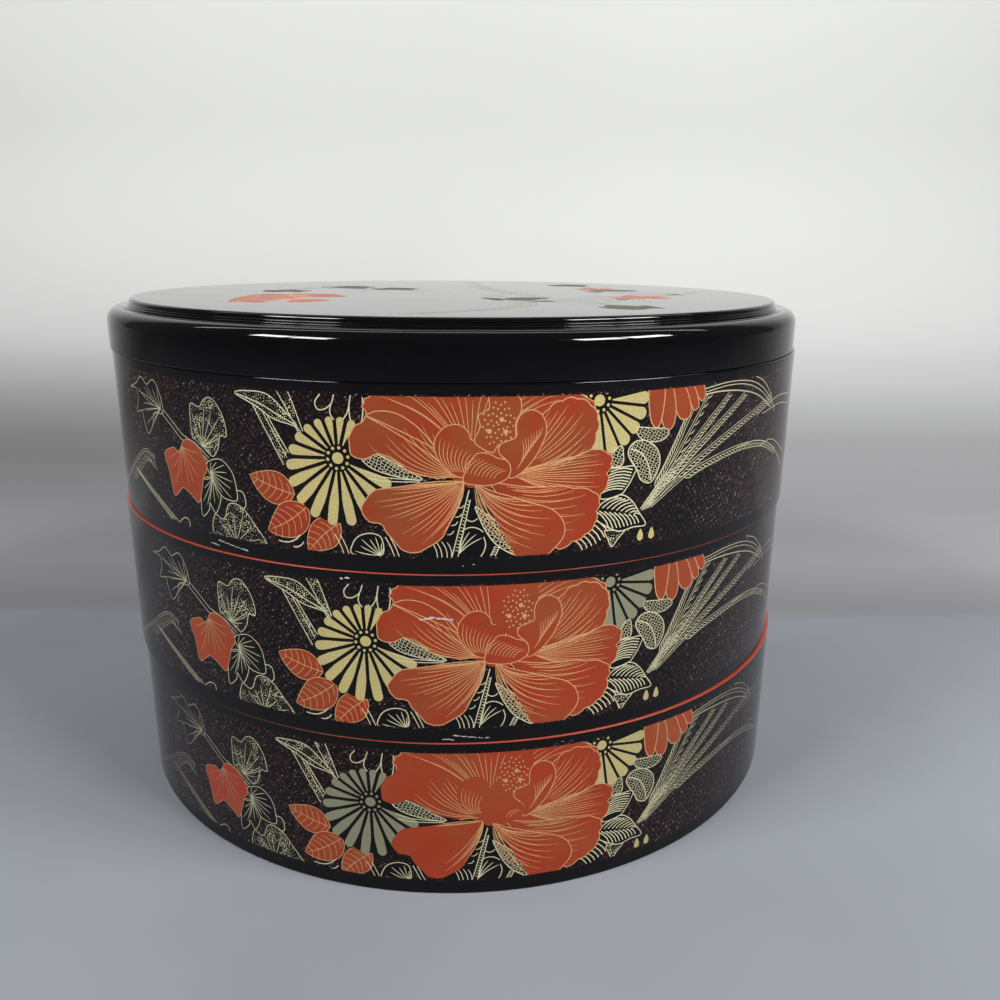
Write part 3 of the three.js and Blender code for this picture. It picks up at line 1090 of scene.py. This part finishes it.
class Shell:
    """Triangles with normals, inks and two maps, gathered piece by piece."""

    def __init__(self):
        self.points, self.normals, self.faces, self.inks = [], [], [], []
        self.places, self.map = [], []
        self.count = 0

    def add(self, points, normals, faces, inks, places, colour_map):
        self.points.append(points)
        self.normals.append(normals)
        self.faces.append(np.asarray(faces) + self.count)
        self.inks.append(np.asarray(inks))
        self.places.append(places)
        self.map.append(colour_map)
        self.count += len(points)

    def turned(self, profile, strip):
        """A profile carried round Z: point (r, z) goes to (r sin a, -r cos a, z). On the colour
        map it fills a strip."""
        points, normals, paints = profile
        low, high = strip
        around = outward_at(RING_TURNS)
        ring = points[:, None, :1] * around[None]
        tall = np.broadcast_to(points[:, None, 1:], (*ring.shape[:2], 1))
        upward = np.broadcast_to(normals[:, None, 1:], tall.shape)
        outward = np.concatenate((normals[:, None, :1] * around[None], upward), 2)
        gone = np.concatenate(([0.0], np.cumsum(np.linalg.norm(np.diff(points, axis=0), axis=1))))
        k, j = np.meshgrid(np.arange(len(points) - 1), np.arange(SEGMENTS), indexing="ij")
        k, j = k.ravel(), j.ravel()
        after = (j + 1) % SEGMENTS
        here, above = k * SEGMENTS, (k + 1) * SEGMENTS
        a, b, c, d = here + j, here + after, above + after, above + j
        faces = np.concatenate((np.stack((a, b, c), 1), np.stack((a, c, d), 1)))
        column = np.stack((j, j + 1, j + 1, j), 1)
        row = np.stack((k, k, k + 1, k + 1), 1)
        column = np.concatenate((column[:, [0, 1, 2]], column[:, [0, 2, 3]]))
        row = np.concatenate((row[:, [0, 1, 2]], row[:, [0, 2, 3]]))
        place = np.stack(
            (column / SEGMENTS * AROUND / PLACE_UNIT, gone[row] / PLACE_UNIT + TURNED_SHIFT), 2
        )
        flat = np.stack(
            (MAP_EDGE + MAP_SPAN * column / SEGMENTS, low + (high - low) * gone[row] / gone[-1]), 2
        )
        self.add(
            np.concatenate((ring, tall), 2).reshape(-1, 3), outward.reshape(-1, 3), faces,
            np.concatenate((paints[k], paints[k])), place, flat,
        )

    def object(self, name, shift):
        """The whole as a closed mesh object: doubled points become one, faces without area go."""
        points, normals = np.concatenate(self.points), np.concatenate(self.normals)
        faces, inks = np.concatenate(self.faces), np.concatenate(self.inks)
        places, flat = np.concatenate(self.places), np.concatenate(self.map)
        near = np.round(points, 4)
        _, first, same = np.unique(near, axis=0, return_index=True, return_inverse=True)
        faces = same.ravel()[faces]
        real = (faces != np.roll(faces, 1, 1)).all(1)
        faces, inks, places, flat = faces[real], inks[real], places[real], flat[real]
        mesh = bpy.data.meshes.new(name)
        mesh.from_pydata((points[first] + shift) * MM, [], faces)
        mesh.polygons.foreach_set("material_index", inks.astype(np.int32))
        mesh.polygons.foreach_set("use_smooth", np.ones(len(faces), bool))
        for label, values in ((PLACE_MAP, places), (COLOUR_MAP, flat)):
            layer = mesh.uv_layers.new(name=label).uv
            layer.foreach_set("vector", values.reshape(-1).astype(np.float32))
        mesh.update()
        mesh.normals_split_custom_set_from_vertices(normals[first])
        for material in box_materials():
            mesh.materials.append(material)
        piece = bpy.data.objects.new(name, mesh)
        bpy.context.collection.objects.link(piece)
        return piece


def stand_in(shell, node):
    """The finished piece, in the place of the frame's node."""
    middle, base, _ = node_place(node)
    piece = shell.object(node + "_lacquered", np.array((middle, 0.0, base)))
    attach(piece, "root")
    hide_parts(node)


# Heights on a tier's wall: the printed surface and the flecked ground on it, and the quarters
# that its colour map is cut into
WALL_LOW, WALL_HIGH = 0.8, 47.5
FLECKS_LOW, FLECKS_HIGH = 4.2, 45.4
QUARTERS = 4

# How far the print keeps off the seam of the wall and off the rim of the lid's disc
SEAM_GAP, PLAIN_EDGE = 0.5, 0.8


def printed_wall(shell, plate, level):
    """The printed stretch of a tier's wall: the plate's (x, z) rolled round Z as the angle
    x / radius. On the colour map its four quarters lie one above the other."""
    start = SEAM_TURN * BODY_RADIUS
    step = AROUND / SEGMENTS
    x = start + step * np.arange(SEGMENTS + 1)
    full = (WALL_LOW, FLECKS_LOW, FLECKS_HIGH, WALL_HIGH)
    border = [(a, z) for z in full for a in x]
    edges = [(i + k * len(x), i + k * len(x) + 1) for k in range(4) for i in range(SEGMENTS)]
    rows = np.linspace(FLECKS_LOW, FLECKS_HIGH, 9)[1:-1]
    for q in range(QUARTERS + 1):
        column = q * SEGMENTS // QUARTERS
        first = len(border)
        border += [(x[column], z) for z in rows]
        low, over, under, high = (k * len(x) + column for k in range(4))
        chain = [low, over, *range(first, first + len(rows)), under, high]
        edges += list(zip(chain[:-1], chain[1:], strict=True))
    border += [(a + 0.5 * step * (i % 2), z) for i, z in enumerate(rows) for a in x[1:-1:2]]
    points, faces, inks = cut(plate, np.array(border), edges)
    share = (points[:, 0] - start) / AROUND
    turn = SEAM_TURN + 2 * math.pi * np.where(share > 1 - 1e-9, 0.0, share)
    around = np.column_stack((outward_at(turn), np.zeros(len(turn))))
    placed = around * BODY_RADIUS + np.stack((turn * 0, turn * 0, points[:, 1]), 1)
    corners = points[faces]
    share = (corners[..., 0] - start) / AROUND
    quarter = np.minimum((share.mean(1) * QUARTERS).astype(int), QUARTERS - 1)[:, None]
    low, high = WALL_STRIP
    tall = (high - low) / QUARTERS
    up = (corners[..., 1] - WALL_LOW) / (WALL_HIGH - WALL_LOW)
    across = MAP_EDGE + MAP_SPAN * (share * QUARTERS - quarter)
    flat = np.stack((across, low + tall * (quarter + 0.01 + 0.98 * up)), 2)
    middle = corners[..., 1].mean(1)
    plain = (inks == FLECKED) & ((middle < FLECKS_LOW) | (middle > FLECKS_HIGH))
    inks = np.where(plain, BLACK, inks)
    place = corners / PLACE_UNIT + (0.0, level * TIER_SHIFT)
    shell.add(placed, around, faces, inks, place, flat)


# How each tier's print is shifted along and up the wall, where it is worn, each (x, z, radius), the
# inks of its two small flowers, where silver is a painted reflection, and its chips, painted white
# as chips and as painted glints
PRINT_TURNS = {"bottom_tier": 4.6, "middle_tier": 6.1, "top_tier": 0.0}
PRINT_LIFTS = {"bottom_tier": -0.6, "middle_tier": -0.3, "top_tier": 0.0}
WORN = {
    "bottom_tier": ((-8.0, 16.0, 9.0), (-10.0, 33.0, 7.0), (12.0, 33.0, 7.0)),
    "middle_tier": ((13.0, 38.0, 5.0),),
    "top_tier": (),
}
REFLECTION_GREYED = {"bottom_tier": (SILVER, GOLD), "middle_tier": (GOLD, SILVER), "top_tier": (GOLD, GOLD)}
CHIP_GLINTS = {
    "bottom_tier": ((30, 46.4, 7, 0.5, 3, 0.5),),
    "middle_tier": ((-30, 46.3, 2.0, 0.4, 2, 1.8), (1, 2.0, 12, 1.4, 16, 0.9),
                    (-6, 36.2, 9, 0.4, 7, 1.8)),
    "top_tier": ((-60, 2.2, 13, 1.6, 22, 0.9), (8, 2.6, 4, 0.8, 2, 0.7)),
}


class LACQUER_OT_tier(bpy.types.Operator):
    """Build one tier: a turned drum with a red inside and a printed wall"""

    bl_idname = "lacquer.tier"
    bl_label = "Tier"
    node: EnumProperty(name="Tier", items=[(n, n.replace("_", " "), "") for n in TIERS])

    def execute(self, context):
        sizes = context.scene.lacquer_tier
        inner = BODY_RADIUS - sizes.wall
        lip = inner + sizes.lip
        recess = lip + sizes.lip_clearance
        depth = sizes.lip_height + sizes.headroom
        floor = depth + sizes.floor
        top = TIER_PITCH + sizes.lip_height
        fine, lip_edge = 0.3, 0.4
        edge = (sizes.rounding, BLACK) if self.node == "top_tier" else (sizes.red_edge, RIM)
        shell = Shell()
        shell.turned(rounded((
            (0.0, depth, 0, BLACK), (recess, depth, fine, BLACK), (recess, 0.0, fine, BLACK),
            (BODY_RADIUS, 0.0, sizes.rounding, BLACK), (BODY_RADIUS, WALL_LOW, 0, BLACK),
        )), FOOT_STRIP)
        shell.turned(rounded((
            (BODY_RADIUS, WALL_HIGH, 0, BLACK), (BODY_RADIUS, TIER_PITCH, *edge),
            (lip, TIER_PITCH, fine, INSIDE),
            (lip, top, lip_edge, INSIDE), (inner, top, lip_edge, INSIDE),
            (inner, floor, sizes.floor_fillet, INSIDE), (0.0, floor, 0, INSIDE),
        )), RIM_STRIP)
        start = SEAM_TURN * BODY_RADIUS
        low = np.array((start + SEAM_GAP, sizes.band_low))
        high = np.array((start + AROUND - SEAM_GAP, sizes.band_high))
        plate = Plate(lambda points: points.clip(low, high))
        turn, lift = PRINT_TURNS[self.node], PRINT_LIFTS[self.node]
        compose(plate, turn, lift, WORN[self.node], *REFLECTION_GREYED[self.node])
        compose(plate, turn + AROUND / 2, lift)
        plate.put(turn, lift)
        under, over = (low[0], WALL_LOW + 0.1), (high[0], WALL_HIGH - 0.02)
        plate.hold = lambda points: points.clip(under, over)
        for chips in CHIP_GLINTS[self.node]:
            scattered(plate, *chips)
        printed_wall(shell, plate, TIERS.index(self.node))
        stand_in(shell, self.node)
        return {"FINISHED"}


class LACQUER_OT_lid(bpy.types.Operator):
    """Build the lid: a shallow cap with a round shoulder and a printed disc"""

    bl_idname = "lacquer.lid"
    bl_label = "Lid"

    def execute(self, context):
        tier, lid = context.scene.lacquer_tier, context.scene.lacquer_lid
        recess = BODY_RADIUS - tier.wall + tier.lip + tier.lip_clearance
        ledge_top = lid.skirt + lid.shoulder
        ledge_inner = BODY_RADIUS - lid.shoulder - lid.ledge
        disc = ledge_inner - 2 * lid.step_width
        ceiling = LID_HEIGHT - lid.wall
        over_lip = ledge_top - lid.wall
        # How far the edges are rounded, inside and out
        fine, foot, soft, fillet, edge, step_edge = 0.3, 0.4, 0.6, 2.0, 1.2, 0.34
        steps = []
        for k in range(2):
            r = ledge_inner - k * lid.step_width
            steps += [(r, ledge_top + k * lid.step_height, 0, BLACK),
                      (r, ledge_top + (k + 1) * lid.step_height, step_edge, BLACK)]
        shell = Shell()
        shell.turned(rounded((
            (0.0, ceiling, 0, INSIDE), (disc - lid.wall, ceiling, soft, INSIDE),
            (disc - lid.wall, over_lip, soft, INSIDE),
            (recess, over_lip, fillet, INSIDE), (recess, 0.0, fine, BLACK),
            (BODY_RADIUS, 0.0, foot, BLACK), (BODY_RADIUS, ledge_top, lid.shoulder, BLACK), *steps,
            (disc, ledge_top + 2 * lid.step_height, 0, BLACK), (disc, LID_HEIGHT, edge, BLACK),
            (disc - lid.border, LID_HEIGHT, 0, BLACK),
        ), 7), LID_STRIP)
        radius = disc - lid.border

        def hold(p):
            far = np.maximum(np.linalg.norm(p, axis=1, keepdims=True), 1e-9)
            return p * np.minimum(1, (radius - PLAIN_EDGE) / far)

        plate = Plate(hold)
        lid_print(plate)
        printed_disc(shell, plate, radius)
        stand_in(shell, "lid")
        return {"FINISHED"}


# The lid's print in matt inks, whose pale, greyed tones are painted sheen
LID_INKS = np.arange(len(INKS))
LID_INKS[PETAL] = MATT_RED
LID_INKS[PEACH] = MATT_PEACH
LID_INKS[[GOLD, STRAW]] = MATT_GOLD
LID_INKS[[STIPPLE, NET]] = MATT_LEAF


def printed_disc(shell, plate, radius):
    """The printed disc on the lid, flat at the lid's height, with the plate's (x, y) as it is."""
    ring = outward_at(RING_TURNS) * radius
    border = [ring] + [ring[:: 1 + k // 2] * (1 - k / 12) for k in range(1, 12)]
    edges = [(i, (i + 1) % SEGMENTS) for i in range(SEGMENTS)]
    points, faces, inks = cut(plate, np.concatenate(border), edges)
    inks = LID_INKS[inks]
    placed = np.column_stack((points, np.full(len(points), LID_HEIGHT)))
    normals = np.tile((0.0, 0.0, 1.0), (len(points), 1))
    corners = points[faces]
    flat = LID_MIDDLE + LID_SPAN * corners / radius
    shell.add(placed, normals, faces, inks, corners / PLACE_UNIT + LID_SHIFT, flat)


# Stage, in metres

# Tones of the floor and the backdrop, each at its distance behind the box: dark just behind it and
# paler further back, painted shade as on a wall close behind the box that its shadow falls on
FLOOR_REACH = 2.0
FLOOR_TONES = (
    (0.10, (112, 112, 115)), (0.16, (128, 128, 130)), (0.29, (120, 120, 122)),
    (0.50, (132, 132, 133)), (0.88, (176, 176, 176)), (1.52, (214, 215, 213)),
)
COOL_TONES = linear(111, 114, 120), linear(119, 122, 128)

# Two pairs of lamps that leave the highlights on the shoulder: turn from the front in degrees,
# width in metres and watts
WINDOWS = (
    ("left_window", -60.5, 0.24, 8.5), ("left_window_front", -45.5, 0.24, 8.5),
    ("right_window", 50.7, 0.30, 12.5), ("right_window_back", 69.5, 0.30, 11.5),
)
WINDOW_REACH, WINDOW_HEIGHT, WINDOW_TALL = 1.035, 0.88, 0.21

# The photograph's camera: place in metres, tilt down in degrees, roll in radians, lens in mm
CAMERA_PLACE = (0.0159, -0.3249, 0.1759)
CAMERA_DOWN, CAMERA_ROLL = 16.75, 0.0084
CAMERA_LENS, CAMERA_SHIFT = 32.125, (-0.0016, 0.0115)


def area_light(name, place, aim, size, power):
    """A soft rectangular light at a place in metres, turned towards aim."""
    light = bpy.data.lights.new(name, "AREA")
    light.shape, light.size, light.size_y = "RECTANGLE", *size
    light.energy = power
    lamp = bpy.data.objects.new(name, light)
    bpy.context.collection.objects.link(lamp)
    lamp.location = place
    lamp.rotation_euler = (Vector(aim) - Vector(place)).to_track_quat("-Z", "Y").to_euler()


class LACQUER_OT_stage(bpy.types.Operator):
    """Set up the floor, the light and the camera at the photograph's angle"""

    bl_idname = "lacquer.stage"
    bl_label = "Stage"

    def execute(self, context):
        recipe = Recipe("pale_floor")
        place = recipe.split(recipe.node("TexCoord", None, None, 3))
        stops = tuple((at / FLOOR_REACH, linear(*tone)) for at, tone in FLOOR_TONES)
        far = recipe.make("ValToRGB", {"stops": stops}, {0: place[1] * (1 / FLOOR_REACH)})
        cloth = recipe.noise(recipe.node("TexCoord", None, None, 3), 7.0, 3.0).rises(0.3, 0.7)
        cool = recipe.mixed(cloth, *COOL_TONES)
        base = recipe.mixed(place[1].rises(0.080, 0.090), cool, Value(recipe, far.outputs[0]))
        # Painted shadow: the floor darkened left of the box, as by the box's shadow, more so
        # further back; and the far backdrop darker across its middle
        near = place[1].rises(-0.13, 0.06) * 0.12 + place[1].rises(0.12, 0.40) * 0.36
        side = place[0].rises(-0.04, -0.17) * near * place[1].rises(1.5, 0.45)
        high = place[1].rises(0.9, 1.4)
        middle = place[0].rises(-1.1, -0.1) * place[0].rises(1.1, 0.1) * high * 0.11
        base = recipe.mixed(side + middle, base, (0.0, 0.0, 0.0))
        recipe.finished(base, 0.85)
        half, back, curve, height = 2.4, 1.5, 0.4, 1.6
        turn = np.linspace(0, math.pi / 2, 13)
        y = np.concatenate(([-2.0], np.linspace(-1.0, back - curve, 12),
                            back - curve + curve * np.sin(turn[1:]), [back]))
        z = np.concatenate((np.zeros(13), curve - curve * np.cos(turn[1:]), [height]))
        x = np.linspace(-half, half, 9)
        grid = np.stack(np.broadcast_arrays(x[:, None], y[None], z[None]), 2).reshape(-1, 3)
        n = len(y)
        starts = [i * n + j for i in range(len(x) - 1) for j in range(n - 1)]
        faces = [(i, i + n, i + n + 1, i + 1) for i in starts]
        mesh = bpy.data.meshes.new("floor")
        mesh.from_pydata(grid, [], faces)
        mesh.shade_smooth()
        mesh.materials.append(recipe.material)
        floor = bpy.data.objects.new("floor", mesh)
        context.collection.objects.link(floor)

        for name, angle, width, power in WINDOWS:
            turn = math.radians(angle)
            place = (WINDOW_REACH * math.sin(turn), -WINDOW_REACH * math.cos(turn), WINDOW_HEIGHT)
            area_light(name, place, (0, 0, 0.08), (width, WINDOW_TALL), power)
        area_light("backdrop_light", (0.0, 0.6, 1.6), (0, 1.5, 0.8), (3.4, 0.5), 29.0)

        world = bpy.data.worlds.new("soft_room")
        world.use_nodes = True
        world.node_tree.nodes["Background"].inputs["Color"].default_value = (0.86, 0.88, 0.92, 1.0)
        world.node_tree.nodes["Background"].inputs["Strength"].default_value = 0.12
        context.scene.world = world
        context.scene.view_settings.view_transform = "Standard"

        lens = bpy.data.cameras.new("camera")
        lens.sensor_width, lens.lens = 36.0, CAMERA_LENS
        lens.shift_x, lens.shift_y = CAMERA_SHIFT
        lens.clip_start = 0.01
        camera = bpy.data.objects.new("camera", lens)
        context.collection.objects.link(camera)
        pitch, roll = math.radians(90 - CAMERA_DOWN), CAMERA_ROLL
        turned = Matrix.Rotation(pitch, 4, "X") @ Matrix.Rotation(roll, 4, "Z")
        camera.matrix_world = Matrix.Translation(CAMERA_PLACE) @ turned
        context.scene.camera = camera
        return {"FINISHED"}


class LACQUER_PT_panel(bpy.types.Panel):
    """The box's pieces and sizes"""

    bl_idname = "LACQUER_PT_panel"
    bl_label = "Lacquer Box"
    bl_space_type = "VIEW_3D"
    bl_region_type = "UI"
    bl_category = "Lacquer Box"

    def draw(self, context):
        layout = self.layout
        for node in TIERS:
            layout.operator("lacquer.tier", text=node.replace("_", " ").capitalize()).node = node
        layout.operator("lacquer.lid")
        layout.operator("lacquer.stage")
        for group in GROUPS:
            for name in GROUPS[group].__annotations__:
                layout.prop(getattr(context.scene, group), name)


GROUPS = {
    "lacquer_tier": LacquerTierSizes,
    "lacquer_lid": LacquerLidSizes,
    "lacquer_colours": LacquerColours,
}
CLASSES = (*GROUPS.values(), LACQUER_OT_tier, LACQUER_OT_lid, LACQUER_OT_stage, LACQUER_PT_panel)


def register():
    for made in CLASSES:
        bpy.utils.register_class(made)
    for name, group in GROUPS.items():
        setattr(bpy.types.Scene, name, PointerProperty(type=group))


def unregister():
    for name in GROUPS:
        delattr(bpy.types.Scene, name)
    for made in reversed(CLASSES):
        bpy.utils.unregister_class(made)


def main():
    register()
    bpy.ops.lacquer.stage()
    for node in TIERS:
        bpy.ops.lacquer.tier(node=node)
    bpy.ops.lacquer.lid()


if __name__ == "__main__":
    main()
